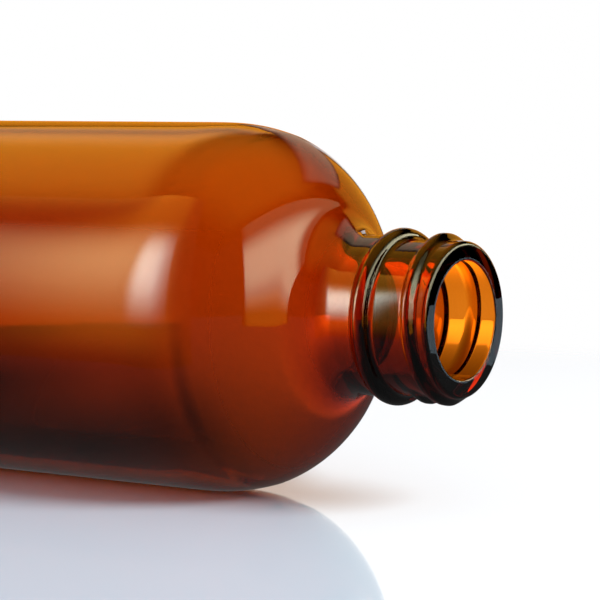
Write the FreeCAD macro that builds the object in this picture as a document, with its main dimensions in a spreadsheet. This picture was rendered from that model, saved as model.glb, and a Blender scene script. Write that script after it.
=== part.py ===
"""Round-shouldered glass bottle lying on its side, with its screw cap and liner taken off beside it.

The bottle is modelled upright about its own axis, base at zero and mouth up, and is then laid down
with the mouth towards +X. The cap stands behind the base with its open side up. Z is up, the table
is the plane at zero, and the origin lies on the table under the middle of the whole set.
"""
import FreeCAD
import Part
import Sketcher
import math
import os

from FreeCAD import Placement, Rotation, Vector

doc = FreeCAD.newDocument("glass_bottle")

# Driving dimensions, in millimetres, degrees, turns and plain counts
SIZES = {
    # Body of the bottle
    "overall_height": 138.0,
    "body_radius": 31.0,
    "wall": 2.6,
    "base_thickness": 5.0,
    "heel_radius": 5.0,
    "inner_heel_radius": 6.0,
    "push_up_radius": 23.0,
    "push_up_depth": 2.2,
    # Shoulder and neck, with heights measured down from the mouth
    "shoulder_drop": 44.66,
    "shoulder_radius": 22.1,
    "neck_fillet": 7.5,
    "inner_neck_fillet": 9.0,
    "neck_radius": 13.0,
    "bead_drop": 11.75,
    "bead_radius": 14.3,
    "bead_round": 1.45,
    "bead_foot_round": 0.8,
    # Threaded finish and mouth
    "finish_radius": 12.55,
    "bore_radius": 9.45,
    "lip_round": 0.7,
    "mouth_round": 0.3,
    "thread_radius": 13.7,
    "thread_pitch": 4.23,
    "thread_drop": 6.2,
    "thread_turns": 0.975,
    "thread_start": 0.0,
    "thread_foot": 3.2,
    "thread_crest": 0.9,
    "thread_bury": 0.4,
    "thread_fade_turns": 0.09,
    "thread_sink": 0.1,
    # Cap and liner
    "thread_clearance": 0.35,
    "finish_clearance": 0.45,
    "bead_clearance": 0.6,
    "cap_wall": 1.2,
    "cap_top": 1.6,
    "cap_edge_round": 0.8,
    "cap_thread_drop": 3.5,
    "cap_thread_turns": 0.95,
    "cap_thread_start": 40.0,
    "rib_count": 60,
    "rib_height": 0.3,
    "rib_round": 0.45,
    "rib_margin": 1.2,
    "liner_thickness": 1.0,
    "liner_clearance": 0.15,
    # Where the cap stands, behind the base and to the side of the bottle's axis
    "cap_gap": 14.0,
    "cap_offset": 12.0,
    # Length by which a cutting profile runs past the glass
    "overshoot": 1.0,
}

# Ends of a sketch line or arc, a circle's centre, and the sketch's own origin point
START, END, CENTRE = range(1, 4)
ORIGIN = (-1, START)

# Sizes that several pieces share, as formulas of the driving dimensions
SHOULDER_HEIGHT = "overall_height - shoulder_drop"
BEAD_HEIGHT = "overall_height - bead_drop"
CAP_BORE = "thread_radius + thread_clearance"
CAP_RADIUS = f"{CAP_BORE} + cap_wall"
SEAT_HEIGHT = "cap_top + liner_thickness"
CAP_HEIGHT = f"{SEAT_HEIGHT} + bead_drop - bead_round - bead_clearance"

sheet = doc.addObject("Spreadsheet::Sheet", "sizes")
for row, (alias, number) in enumerate(SIZES.items(), start=1):
    sheet.set(f"A{row}", alias)
    sheet.set(f"B{row}", str(number))
    sheet.setAlias(f"B{row}", alias)
doc.recompute()


def amount(formula):
    """The value of a formula: aliases and numbers, each perhaps divided, joined by plus and minus."""
    total = 0.0
    sign = 1.0
    for word in formula.split():
        if word in ("+", "-"):
            sign = 1.0 if word == "+" else -1.0
            continue
        name, _, divisor = word.partition("/")
        value = float(sheet.get(name)) if name in SIZES else float(name)
        total += sign * value / float(divisor or 1)
    return total


def on_sheet(formula):
    """The same formula with each alias named on the sheet, for a property to follow."""
    words = formula.split()
    return " ".join(f"sizes.{word}" if word.partition("/")[0] in SIZES else word for word in words)


def follow(feature, **properties):
    """Ties properties of a feature to formulas."""
    for name, formula in properties.items():
        feature.setExpression(name, on_sheet(formula))


def new_body(label):
    body = doc.addObject("PartDesign::Body", label)
    body.Label = label
    return body


def new_sketch(body, name, role):
    """A sketch on one of the body's own origin planes."""
    sketch = body.newObject("Sketcher::SketchObject", name)
    plane = next(item for item in body.Origin.OriginFeatures if item.Role == role)
    sketch.AttachmentSupport = [(plane, "")]
    sketch.MapMode = "FlatFace"
    return sketch


def add_line(sketch, start, end):
    return sketch.addGeometry(Part.LineSegment(Vector(*start, 0), Vector(*end, 0)))


def add_arc(sketch, centre, radius, first, last):
    """An arc from one angle, in degrees, anticlockwise to another."""
    circle = Part.Circle(Vector(*centre, 0), Vector(0, 0, 1), radius)
    return sketch.addGeometry(Part.ArcOfCircle(circle, math.radians(first), math.radians(last)))


def add_circle(sketch, across, height, radius):
    """A circle whose centre and radius follow formulas."""
    centre = Vector(amount(across), amount(height), 0)
    circle = sketch.addGeometry(Part.Circle(centre, Vector(0, 0, 1), amount(radius)))
    bind_across(sketch, circle, CENTRE, across)
    bind_height(sketch, circle, CENTRE, height)
    bind_radius(sketch, circle, radius)


def meet(sketch, *ends):
    """Two ends at one point."""
    sketch.addConstraint(Sketcher.Constraint("Coincident", *ends))


def blend(sketch, *ends):
    """Two ends at one point, running smoothly into each other."""
    sketch.addConstraint(Sketcher.Constraint("Tangent", *ends))


def level(sketch, *lines):
    for item in lines:
        sketch.addConstraint(Sketcher.Constraint("Horizontal", item))


def upright(sketch, *lines):
    for item in lines:
        sketch.addConstraint(Sketcher.Constraint("Vertical", item))


def bind(sketch, constraint, formula):
    """A dimension of a sketch that follows a formula."""
    index = sketch.addConstraint(Sketcher.Constraint(*constraint, amount(formula)))
    sketch.setExpression(f"Constraints[{index}]", on_sheet(formula))


def bind_across(sketch, item, end, formula):
    bind(sketch, ("DistanceX", *ORIGIN, item, end), formula)


def bind_height(sketch, item, end, formula):
    bind(sketch, ("DistanceY", *ORIGIN, item, end), formula)


def bind_radius(sketch, item, formula):
    bind(sketch, ("Radius", item), formula)


def on_axis(sketch, item, end):
    """A point of the profile that stays on the sketch's upright axis."""
    sketch.addConstraint(Sketcher.Constraint("PointOnObject", item, end, -2))


def revolve(body, name, sketch, kind="Revolution"):
    """A full turn of a sketch about its upright axis, added to the body or cut from it."""
    feature = body.newObject(f"PartDesign::{kind}", name)
    feature.Profile = sketch
    feature.ReferenceAxis = (sketch, ["V_Axis"])
    feature.Angle = 360.0
    doc.recompute()
    return feature


def fillet_place(arc_centre, arc_radius, fillet, line_radius):
    """Height of a fillet's centre between an arc below and an upright line, and its angle on the arc."""
    across = line_radius + fillet - arc_centre[0]
    rise = math.sqrt((arc_radius + fillet) ** 2 - across ** 2)
    return arc_centre[1] + rise, math.degrees(math.atan2(rise, across))


def glass_outside(body):
    """The outer form: base, heel, straight wall, round shoulder, neck and plain finish."""
    sketch = new_sketch(body, "outside_profile", "XZ_Plane")
    top = amount("overall_height")
    radius = amount("body_radius")
    heel = amount("heel_radius")
    shoulder = amount("shoulder_radius")
    fillet = amount("neck_fillet")
    neck = amount("neck_radius")
    finish = amount("finish_radius")
    lip = amount("lip_round")
    bead_height = amount(BEAD_HEIGHT)
    shoulder_centre = (radius - shoulder, amount(SHOULDER_HEIGHT))
    fillet_height, angle = fillet_place(shoulder_centre, shoulder, fillet, neck)

    base = add_line(sketch, (0, 0), (radius - heel, 0))
    heel_arc = add_arc(sketch, (radius - heel, heel), heel, 270, 360)
    wall = add_line(sketch, (radius, heel), (radius, shoulder_centre[1]))
    shoulder_arc = add_arc(sketch, shoulder_centre, shoulder, 0, angle)
    fillet_arc = add_arc(sketch, (neck + fillet, fillet_height), fillet, 180, 180 + angle)
    root = add_line(sketch, (neck, fillet_height), (neck, bead_height))
    step = add_line(sketch, (neck, bead_height), (finish, bead_height))
    plain = add_line(sketch, (finish, bead_height), (finish, top - lip))
    lip_arc = add_arc(sketch, (finish - lip, top - lip), lip, 0, 90)
    mouth = add_line(sketch, (finish - lip, top), (0, top))
    axis = add_line(sketch, (0, top), (0, 0))

    meet(sketch, base, START, *ORIGIN)
    blend(sketch, base, END, heel_arc, START)
    blend(sketch, heel_arc, END, wall, START)
    blend(sketch, wall, END, shoulder_arc, START)
    blend(sketch, shoulder_arc, END, fillet_arc, END)
    blend(sketch, fillet_arc, START, root, START)
    meet(sketch, root, END, step, START)
    meet(sketch, step, END, plain, START)
    blend(sketch, plain, END, lip_arc, START)
    blend(sketch, lip_arc, END, mouth, START)
    meet(sketch, mouth, END, axis, START)
    meet(sketch, axis, END, base, START)
    level(sketch, base, step, mouth)
    upright(sketch, wall, root, plain, axis)
    bind_radius(sketch, heel_arc, "heel_radius")
    bind_across(sketch, wall, END, "body_radius")
    bind_height(sketch, wall, END, SHOULDER_HEIGHT)
    bind_radius(sketch, shoulder_arc, "shoulder_radius")
    bind_radius(sketch, fillet_arc, "neck_fillet")
    bind_across(sketch, root, END, "neck_radius")
    bind_height(sketch, root, END, BEAD_HEIGHT)
    bind_across(sketch, plain, START, "finish_radius")
    bind_radius(sketch, lip_arc, "lip_round")
    bind_height(sketch, mouth, END, "overall_height")
    return revolve(body, "outside", sketch)


def neck_bead(body):
    """The round bead between the neck and the finish, with both its feet rounded."""
    sketch = new_sketch(body, "bead_profile", "XZ_Plane")
    add_circle(sketch, "bead_radius - bead_round", BEAD_HEIGHT, "bead_round")
    bead = revolve(body, "bead", sketch)
    feet = []
    for number, edge in enumerate(bead.Shape.Edges, start=1):
        near = abs(edge.BoundBox.Center.z - amount(BEAD_HEIGHT)) < amount("bead_round")
        round_edge = isinstance(edge.Curve, Part.Circle) and edge.BoundBox.ZLength < amount("bead_foot_round")
        if near and round_edge:
            feet.append(f"Edge{number}")
    rounding = body.newObject("PartDesign::Fillet", "bead_feet")
    rounding.Base = (bead, feet)
    follow(rounding, Radius="bead_foot_round")
    doc.recompute()
    return rounding


def thread_piece(body, name, place, turns, turned, climb, slope, backwards=False):
    """One length of thread: a four-sided profile wound about the body's upright axis.

    The profile stands at the angle turned and is raised by climb. A slope fades it into the wall.
    The quarter turn only sets the axis that the angle is measured about.
    """
    sketch = new_sketch(body, f"{name}_profile", "XZ_Plane")
    sketch.AttachmentOffset = Placement(Vector(), Rotation(Vector(0, 1, 0), 90))
    sketch.setExpression("AttachmentOffset.Rotation.Angle", turned)
    sketch.setExpression("AttachmentOffset.Base.y", climb)
    root = amount(place["root"])
    crest = amount(place["crest"])
    corners = [
        (root, f"{place['height']} - thread_foot/2"),
        (crest, f"{place['height']} - thread_crest/2"),
        (crest, f"{place['height']} + thread_crest/2"),
        (root, f"{place['height']} + thread_foot/2"),
    ]
    points = [(across, amount(height)) for across, height in corners]
    sides = [add_line(sketch, points[corner - 1], points[corner]) for corner in range(len(points))]
    for first, second in zip(sides, sides[1:] + sides[:1]):
        meet(sketch, first, END, second, START)
    for side, (_, height) in zip(sides, corners):
        bind_height(sketch, side, END, height)
    bind_across(sketch, sides[0], END, place["root"])
    bind_across(sketch, sides[1], END, place["crest"])
    upright(sketch, sides[0], sides[2])
    helix = body.newObject("PartDesign::AdditiveHelix", name)
    helix.Profile = sketch
    helix.ReferenceAxis = (sketch, ["V_Axis"])
    helix.Mode = "pitch-turns-angle"
    helix.Reversed = backwards
    helix.setExpression("Angle", slope)
    follow(helix, Pitch="thread_pitch", Turns=turns)
    doc.recompute()
    return helix


def neck_thread(body):
    """The thread around the finish, of full height until it sinks into the wall at both its ends."""
    place = {
        "root": "finish_radius - thread_bury",
        "crest": "thread_radius",
        "height": "overall_height - thread_drop",
    }
    start_angle = "sizes.thread_start"
    end_angle = "sizes.thread_start + 360 * sizes.thread_turns"
    rise = "sizes.thread_pitch * sizes.thread_turns"
    depth = "sizes.thread_radius - sizes.finish_radius + sizes.thread_sink"
    slope = f"-1 * atan(({depth}) / (sizes.thread_pitch * sizes.thread_fade_turns))"
    thread_piece(body, "thread", place, "thread_turns", start_angle, "0", "0")
    thread_piece(body, "thread_in", place, "thread_fade_turns", start_angle, "0", slope, True)
    thread_piece(body, "thread_out", place, "thread_fade_turns", end_angle, rise, slope)


def cap_thread(body):
    """The thread inside the cap's skirt, with plain ends."""
    place = {
        "root": f"{CAP_BORE} + thread_bury",
        "crest": "finish_radius + finish_clearance",
        "height": f"{SEAT_HEIGHT} + cap_thread_drop",
    }
    thread_piece(body, "inner_thread", place, "cap_thread_turns", "sizes.cap_thread_start", "0", "0")


def glass_inside(body):
    """The cavity: flat floor, straight wall, shoulder under the outer one, bore and rounded mouth."""
    sketch = new_sketch(body, "inside_profile", "XZ_Plane")
    top = amount("overall_height")
    floor = amount("base_thickness")
    radius = amount("body_radius - wall")
    heel = amount("inner_heel_radius")
    shoulder = amount("shoulder_radius - wall")
    fillet = amount("inner_neck_fillet")
    bore = amount("bore_radius")
    rounding = amount("mouth_round")
    above = amount("overall_height + overshoot")
    shoulder_centre = (radius - shoulder, amount(SHOULDER_HEIGHT))
    fillet_height, angle = fillet_place(shoulder_centre, shoulder, fillet, bore)

    base = add_line(sketch, (0, floor), (radius - heel, floor))
    heel_arc = add_arc(sketch, (radius - heel, floor + heel), heel, 270, 360)
    wall = add_line(sketch, (radius, floor + heel), (radius, shoulder_centre[1]))
    shoulder_arc = add_arc(sketch, shoulder_centre, shoulder, 0, angle)
    fillet_arc = add_arc(sketch, (bore + fillet, fillet_height), fillet, 180, 180 + angle)
    bore_line = add_line(sketch, (bore, fillet_height), (bore, top - rounding))
    mouth_arc = add_arc(sketch, (bore + rounding, top - rounding), rounding, 90, 180)
    rim = add_line(sketch, (bore + rounding, top), (bore + rounding, above))
    lid = add_line(sketch, (bore + rounding, above), (0, above))
    axis = add_line(sketch, (0, above), (0, floor))

    blend(sketch, base, END, heel_arc, START)
    blend(sketch, heel_arc, END, wall, START)
    blend(sketch, wall, END, shoulder_arc, START)
    blend(sketch, shoulder_arc, END, fillet_arc, END)
    blend(sketch, fillet_arc, START, bore_line, START)
    blend(sketch, bore_line, END, mouth_arc, END)
    meet(sketch, mouth_arc, START, rim, START)
    meet(sketch, rim, END, lid, START)
    meet(sketch, lid, END, axis, START)
    meet(sketch, axis, END, base, START)
    level(sketch, base, lid)
    upright(sketch, wall, bore_line, rim, axis)
    on_axis(sketch, base, START)
    bind_height(sketch, base, START, "base_thickness")
    bind_radius(sketch, heel_arc, "inner_heel_radius")
    bind_across(sketch, wall, END, "body_radius - wall")
    bind_height(sketch, wall, END, SHOULDER_HEIGHT)
    bind_radius(sketch, shoulder_arc, "shoulder_radius - wall")
    bind_radius(sketch, fillet_arc, "inner_neck_fillet")
    bind_across(sketch, bore_line, END, "bore_radius")
    bind_height(sketch, mouth_arc, START, "overall_height")
    bind_radius(sketch, mouth_arc, "mouth_round")
    bind_across(sketch, rim, END, "bore_radius + mouth_round")
    bind_height(sketch, lid, END, "overall_height + overshoot")
    return revolve(body, "inside", sketch, "Groove")


def base_push_up(body):
    """The shallow dish in the base, inside the ring that the bottle stands on."""
    sketch = new_sketch(body, "push_up_profile", "XZ_Plane")
    edge = amount("push_up_radius")
    depth = amount("push_up_depth")
    below = -amount("overshoot")
    radius = (edge ** 2 + depth ** 2) / (2 * depth)
    tilt = math.degrees(math.asin(edge / radius))

    dish = add_arc(sketch, (0, depth - radius), radius, 90 - tilt, 90)
    rim = add_line(sketch, (edge, 0), (edge, below))
    bottom = add_line(sketch, (edge, below), (0, below))
    axis = add_line(sketch, (0, below), (0, depth))

    meet(sketch, dish, START, rim, START)
    meet(sketch, rim, END, bottom, START)
    meet(sketch, bottom, END, axis, START)
    meet(sketch, axis, END, dish, END)
    level(sketch, bottom)
    upright(sketch, rim, axis)
    on_axis(sketch, dish, CENTRE)
    on_axis(sketch, axis, START)
    bind_height(sketch, axis, END, "push_up_depth")
    bind_across(sketch, rim, START, "push_up_radius")
    sketch.addConstraint(Sketcher.Constraint("PointOnObject", rim, START, -1))
    bind(sketch, ("DistanceY", bottom, END, *ORIGIN), "overshoot")
    return revolve(body, "push_up", sketch, "Groove")


def cap_shell(body):
    """The cap's plain form, top face down: a cup with a rounded lower edge."""
    sketch = new_sketch(body, "shell_profile", "XZ_Plane")
    outer = amount(CAP_RADIUS)
    inner = amount(CAP_BORE)
    height = amount(CAP_HEIGHT)
    top = amount("cap_top")
    edge = amount("cap_edge_round")

    face = add_line(sketch, (0, 0), (outer - edge, 0))
    edge_arc = add_arc(sketch, (outer - edge, edge), edge, 270, 360)
    skirt = add_line(sketch, (outer, edge), (outer, height))
    rim = add_line(sketch, (outer, height), (inner, height))
    bore = add_line(sketch, (inner, height), (inner, top))
    seat = add_line(sketch, (inner, top), (0, top))
    axis = add_line(sketch, (0, top), (0, 0))

    meet(sketch, face, START, *ORIGIN)
    blend(sketch, face, END, edge_arc, START)
    blend(sketch, edge_arc, END, skirt, START)
    meet(sketch, skirt, END, rim, START)
    meet(sketch, rim, END, bore, START)
    meet(sketch, bore, END, seat, START)
    meet(sketch, seat, END, axis, START)
    meet(sketch, axis, END, face, START)
    level(sketch, face, rim, seat)
    upright(sketch, skirt, bore, axis)
    bind_radius(sketch, edge_arc, "cap_edge_round")
    bind_across(sketch, skirt, END, CAP_RADIUS)
    bind_height(sketch, skirt, END, CAP_HEIGHT)
    bind_across(sketch, bore, END, CAP_BORE)
    bind_height(sketch, bore, END, "cap_top")
    return revolve(body, "shell", sketch)


def cap_ribs(body):
    """Half-round grip ribs around the skirt."""
    sketch = new_sketch(body, "rib_profile", "XY_Plane")
    sketch.setExpression("AttachmentOffset.Base.z", on_sheet("rib_margin"))
    add_circle(sketch, f"{CAP_RADIUS} + rib_height - rib_round", "0", "rib_round")
    rib = body.newObject("PartDesign::Pad", "rib")
    rib.Profile = sketch
    follow(rib, Length=f"{CAP_HEIGHT} - rib_margin - rib_margin")
    doc.recompute()
    ring = body.newObject("PartDesign::PolarPattern", "ribs")
    ring.Originals = [rib]
    ring.Axis = (sketch, ["N_Axis"])
    ring.Angle = 360.0
    follow(ring, Occurrences="rib_count")
    body.Tip = ring
    doc.recompute()
    return ring


def liner_disc(body):
    """The sealing disc that lies against the inside of the cap's top."""
    sketch = new_sketch(body, "liner_profile", "XY_Plane")
    sketch.setExpression("AttachmentOffset.Base.z", on_sheet("cap_top"))
    add_circle(sketch, "0", "0", f"{CAP_BORE} - liner_clearance")
    disc = body.newObject("PartDesign::Pad", "disc")
    disc.Profile = sketch
    follow(disc, Length="liner_thickness")
    doc.recompute()
    return disc


def put(body, across, aside, height):
    """Places a body by formulas."""
    body.setExpression("Placement.Base.x", on_sheet(across))
    body.setExpression("Placement.Base.y", on_sheet(aside))
    body.setExpression("Placement.Base.z", on_sheet(height))


# Glass bottle, laid down with its mouth towards +X and level with the table along its wall
bottle = new_body("glass_bottle")
glass_outside(bottle)
neck_bead(bottle)
neck_thread(bottle)
glass_inside(bottle)
base_push_up(bottle)
bottle.Placement = Placement(Vector(), Rotation(Vector(0, 1, 0), 90))
base_across = f"cap_gap/2 + {CAP_RADIUS} + rib_height - overall_height/2"
put(bottle, base_across, "0", "body_radius")

# Screw cap, open side up, and the liner inside it
cap = new_body("screw_cap")
cap_shell(cap)
cap_ribs(cap)
cap_thread(cap)
liner = new_body("cap_liner")
liner_disc(liner)
cap_across = "0 - cap_gap/2 - overall_height/2"
for piece in (cap, liner):
    put(piece, cap_across, "cap_offset", "0")
doc.recompute()

# Nothing is written unless every feature built and every piece is one sound solid
for item in doc.Objects:
    if "Invalid" in item.State or "Error" in item.State:
        raise RuntimeError(f"{item.Name} failed: {item.State}")
pieces = [bottle, cap, liner]
for piece in pieces:
    shape = piece.Shape
    if shape.isNull() or not shape.isValid() or len(shape.Solids) != 1:
        raise RuntimeError(f"{piece.Label} isn't one sound solid")

os.makedirs("parts", exist_ok=True)
for piece in pieces:
    piece.Shape.exportStep(f"parts/{piece.Label}.step")
    print(piece.Label, round(piece.Shape.Volume, 1), piece.Shape.BoundBox)
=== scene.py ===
# %% [markdown]
# # An amber glass bottle and its screw cap
#
# The object is a round-shouldered bottle of brown glass that lies on its side, with its black screw cap
# and foam liner taken off and standing behind it. Glass is the whole lesson: its surface has no colour of
# its own, so its look comes from an exact form, a true wall and what stands around it.
#
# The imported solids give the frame. Each of them is made again here as a smooth mesh that stands in the
# same place, because a refracting surface shows every facet of a coarse one.

import math

import bmesh
import bpy
from mathutils import Matrix, Vector


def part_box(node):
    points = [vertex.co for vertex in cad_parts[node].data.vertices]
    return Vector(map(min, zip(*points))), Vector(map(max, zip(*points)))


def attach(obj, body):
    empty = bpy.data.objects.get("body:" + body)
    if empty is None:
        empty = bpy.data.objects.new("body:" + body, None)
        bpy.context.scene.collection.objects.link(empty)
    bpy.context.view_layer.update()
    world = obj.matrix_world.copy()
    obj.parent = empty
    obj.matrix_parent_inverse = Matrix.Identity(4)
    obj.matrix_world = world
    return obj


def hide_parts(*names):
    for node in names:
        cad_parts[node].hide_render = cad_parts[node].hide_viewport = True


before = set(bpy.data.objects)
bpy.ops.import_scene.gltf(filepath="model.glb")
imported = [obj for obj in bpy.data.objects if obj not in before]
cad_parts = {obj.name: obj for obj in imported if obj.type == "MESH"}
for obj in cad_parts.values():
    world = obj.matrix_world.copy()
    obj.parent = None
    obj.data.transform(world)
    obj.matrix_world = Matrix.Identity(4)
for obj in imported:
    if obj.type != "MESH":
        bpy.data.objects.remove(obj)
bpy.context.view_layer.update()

# %% [markdown]
# ## Where the pieces are
#
# A size in a drawing of a bottle is a few millimetres, so the script keeps the sizes of its pieces and
# cards in millimetres and turns them into metres when a mesh is made. The frame says where the bottle's
# axis runs, how long the bottle is and where the cap stands. Everything else hangs on those.

# %% Places and main sizes
MM = 0.001

bottle_low, bottle_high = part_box("glass_bottle")
cap_low, cap_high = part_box("screw_cap")
BOTTLE_HEIGHT = round((bottle_high.x - bottle_low.x) / MM, 2)
BODY_RADIUS = round((bottle_high.y - bottle_low.y) / 2 / MM, 1)
CAP_HEIGHT = round((cap_high.z - cap_low.z) / MM, 2)

# The bottle's own frame has its base at zero and its mouth up. This lays it down, mouth to +X.
bottle_place = (
    Matrix.Translation((bottle_low.x, 0, BODY_RADIUS * MM))
    @ Matrix.Rotation(math.radians(90), 4, "Y")
)
cap_place = Matrix.Translation(((cap_low.x + cap_high.x) / 2, (cap_low.y + cap_high.y) / 2, cap_low.z))
print("bottle", BOTTLE_HEIGHT, "mm long,", BODY_RADIUS, "mm in radius; cap", CAP_HEIGHT, "mm high")

# %% [markdown]
# ## The camera
#
# The camera looks along the bottle from the mouth's side, a little above the table. A long lens from close
# by keeps the body's lines almost parallel. The picture's edge cuts off the back of the bottle.

# %% Camera
CAMERA_AZIMUTH = 33.961
CAMERA_ELEVATION = 4.619
CAMERA_DISTANCE = 410.39
CAMERA_LENS = 149.32
CAMERA_CLIP = 0.01
TARGET_BEHIND_MOUTH = 31.53
TARGET_HEIGHT = 32.80


def direction(azimuth, elevation):
    """Unit vector from the object towards an azimuth, counted from -Y towards +X, and an elevation."""
    around = math.radians(azimuth)
    up = math.radians(elevation)
    return Vector((math.sin(around) * math.cos(up), -math.cos(around) * math.cos(up), math.sin(up)))


target = Vector((bottle_high.x - TARGET_BEHIND_MOUTH * MM, 0, TARGET_HEIGHT * MM))
towards_camera = direction(CAMERA_AZIMUTH, CAMERA_ELEVATION)
camera_data = bpy.data.cameras.new("camera")
camera_data.lens = CAMERA_LENS
camera_data.clip_start = CAMERA_CLIP
camera = bpy.data.objects.new("camera", camera_data)
camera.location = target + towards_camera * CAMERA_DISTANCE * MM
camera.rotation_euler = (math.radians(90 - CAMERA_ELEVATION), 0, math.radians(CAMERA_AZIMUTH))
bpy.context.scene.collection.objects.link(camera)
bpy.context.scene.camera = camera
print("camera at", [round(x, 4) for x in camera.location])

# %% [markdown]
# ## Turning a profile into a surface
#
# Bottle, cap and liner are all round, so each starts as half of its section: a chain of points given as
# distance out from the axis and height along it. Round stretches are arcs, so that no corner is ever
# sharp, which real glass never is. The spin operator turns the chain once about the axis. It leaves a
# pile of points where the chain meets the axis, and those are merged before the normals are set.

# %% Profile helpers
def arc(out, along, radius, first, last, count):
    """Points on an arc about a centre. The angle is 0 straight out and 90 up along the axis."""
    points = []
    for step in range(count + 1):
        angle = math.radians(first + (last - first) * step / count)
        points.append((out + radius * math.cos(angle), along + radius * math.sin(angle)))
    return points


def run(start, end, count):
    """Points on a straight stretch, without its two ends."""
    shares = [step / count for step in range(1, count)]
    return [(start[0] + (end[0] - start[0]) * s, start[1] + (end[1] - start[1]) * s) for s in shares]


# %% Spin helper
TINY = 1e-7
SMOOTH_ROUNDS = 40
SMOOTH_SHARE = 0.5


def smooth_chain(shape, chain):
    """Even out a chain's distance from the axis, so that its curvature changes gradually."""
    for _ in range(SMOOTH_ROUNDS):
        bmesh.ops.smooth_vert(
            shape, verts=chain, factor=SMOOTH_SHARE, use_axis_x=True, use_axis_y=False, use_axis_z=False
        )


def spun(profile, steps, smooth_from=None, smooth_to=None):
    """The closed surface that a profile, from axis to axis, sweeps in one turn.

    Each point keeps its row in the profile. Between two heights the chain is smoothed first.
    """
    shape = bmesh.new()
    rows = shape.verts.layers.int.new("row")
    corners = [shape.verts.new((out * MM, 0, along * MM)) for out, along in profile]
    for row, corner in enumerate(corners):
        corner[rows] = row
    for first, second in zip(corners, corners[1:]):
        shape.edges.new((first, second))
    if smooth_to is not None:
        smooth_chain(shape, [corner for corner in corners if smooth_from < corner.co.z / MM < smooth_to])
    bmesh.ops.spin(
        shape,
        geom=shape.verts[:] + shape.edges[:],
        cent=(0, 0, 0),
        axis=(0, 0, 1),
        angle=math.tau,
        steps=steps,
        use_merge=True,
    )
    bmesh.ops.remove_doubles(shape, verts=shape.verts[:], dist=TINY)
    bmesh.ops.recalc_face_normals(shape, faces=shape.faces[:])
    return shape


# %% [markdown]
# ## The bottle's section
#
# The outside runs from the middle of the base, over the dish pushed up into it, round the heel, along
# the wall and over the round shoulder into the neck. There it rises over the bead, follows the plain wall
# under the thread and turns over the lip. The inside comes back down the bore and follows the outside at
# the wall's thickness. The neck's fillets touch an arc and a line, so their centres are worked out.

# %% Bottle sizes
WALL = 2.6
BASE_THICKNESS = 5.0
HEEL = 5.0
INNER_HEEL = 6.0
PUSH_UP_RADIUS = 23.0
PUSH_UP_DEPTH = 2.2
SHOULDER_BELOW_MOUTH = 44.66
SHOULDER_AT = BOTTLE_HEIGHT - SHOULDER_BELOW_MOUTH
SHOULDER = 22.1
SHOULDER_OUT = BODY_RADIUS - SHOULDER
NECK_RADIUS = 13.0
NECK_FILLET = 7.5
INNER_FILLET = 9.0
BEAD_BELOW_MOUTH = 11.75
BEAD_AT = BOTTLE_HEIGHT - BEAD_BELOW_MOUTH
BEAD_RADIUS = 14.3
BEAD_ROUND = 1.45
BEAD_FOOT = 0.8
FINISH_RADIUS = 12.55
BORE_RADIUS = 9.45
LIP_ROUND = 0.7
MOUTH_ROUND = 0.3
print("shoulder from", round(SHOULDER_AT, 2), "mm and bead at", round(BEAD_AT, 2), "mm above the base")

# %% Outside of the bottle
# Points that keep the straight wall straight up to the arcs at its ends
WALL_HOLD = 0.6
WALL_ROWS = 8
FINISH_ROWS = 46
# Length of wall over which its straight line passes into the shoulder's curve
PASSAGE = 8.0
PASSAGE_ROWS = 12


def fillet_between(arc_out, arc_along, arc_radius, line_out, fillet):
    """Height of a fillet's centre above an arc and beside an upright line, and its angle on the arc."""
    across = line_out + fillet - arc_out
    rise = math.sqrt((arc_radius + fillet) ** 2 - across ** 2)
    return arc_along + rise, math.degrees(math.atan2(rise, across))


def straight_wall(out, start, end):
    """A long straight stretch with points close to both its ends."""
    hold = WALL_HOLD if end > start else -WALL_HOLD
    inner = [(out, start + hold), (out, end - hold)]
    return [inner[0], *run(*inner, WALL_ROWS), inner[1]]


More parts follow.
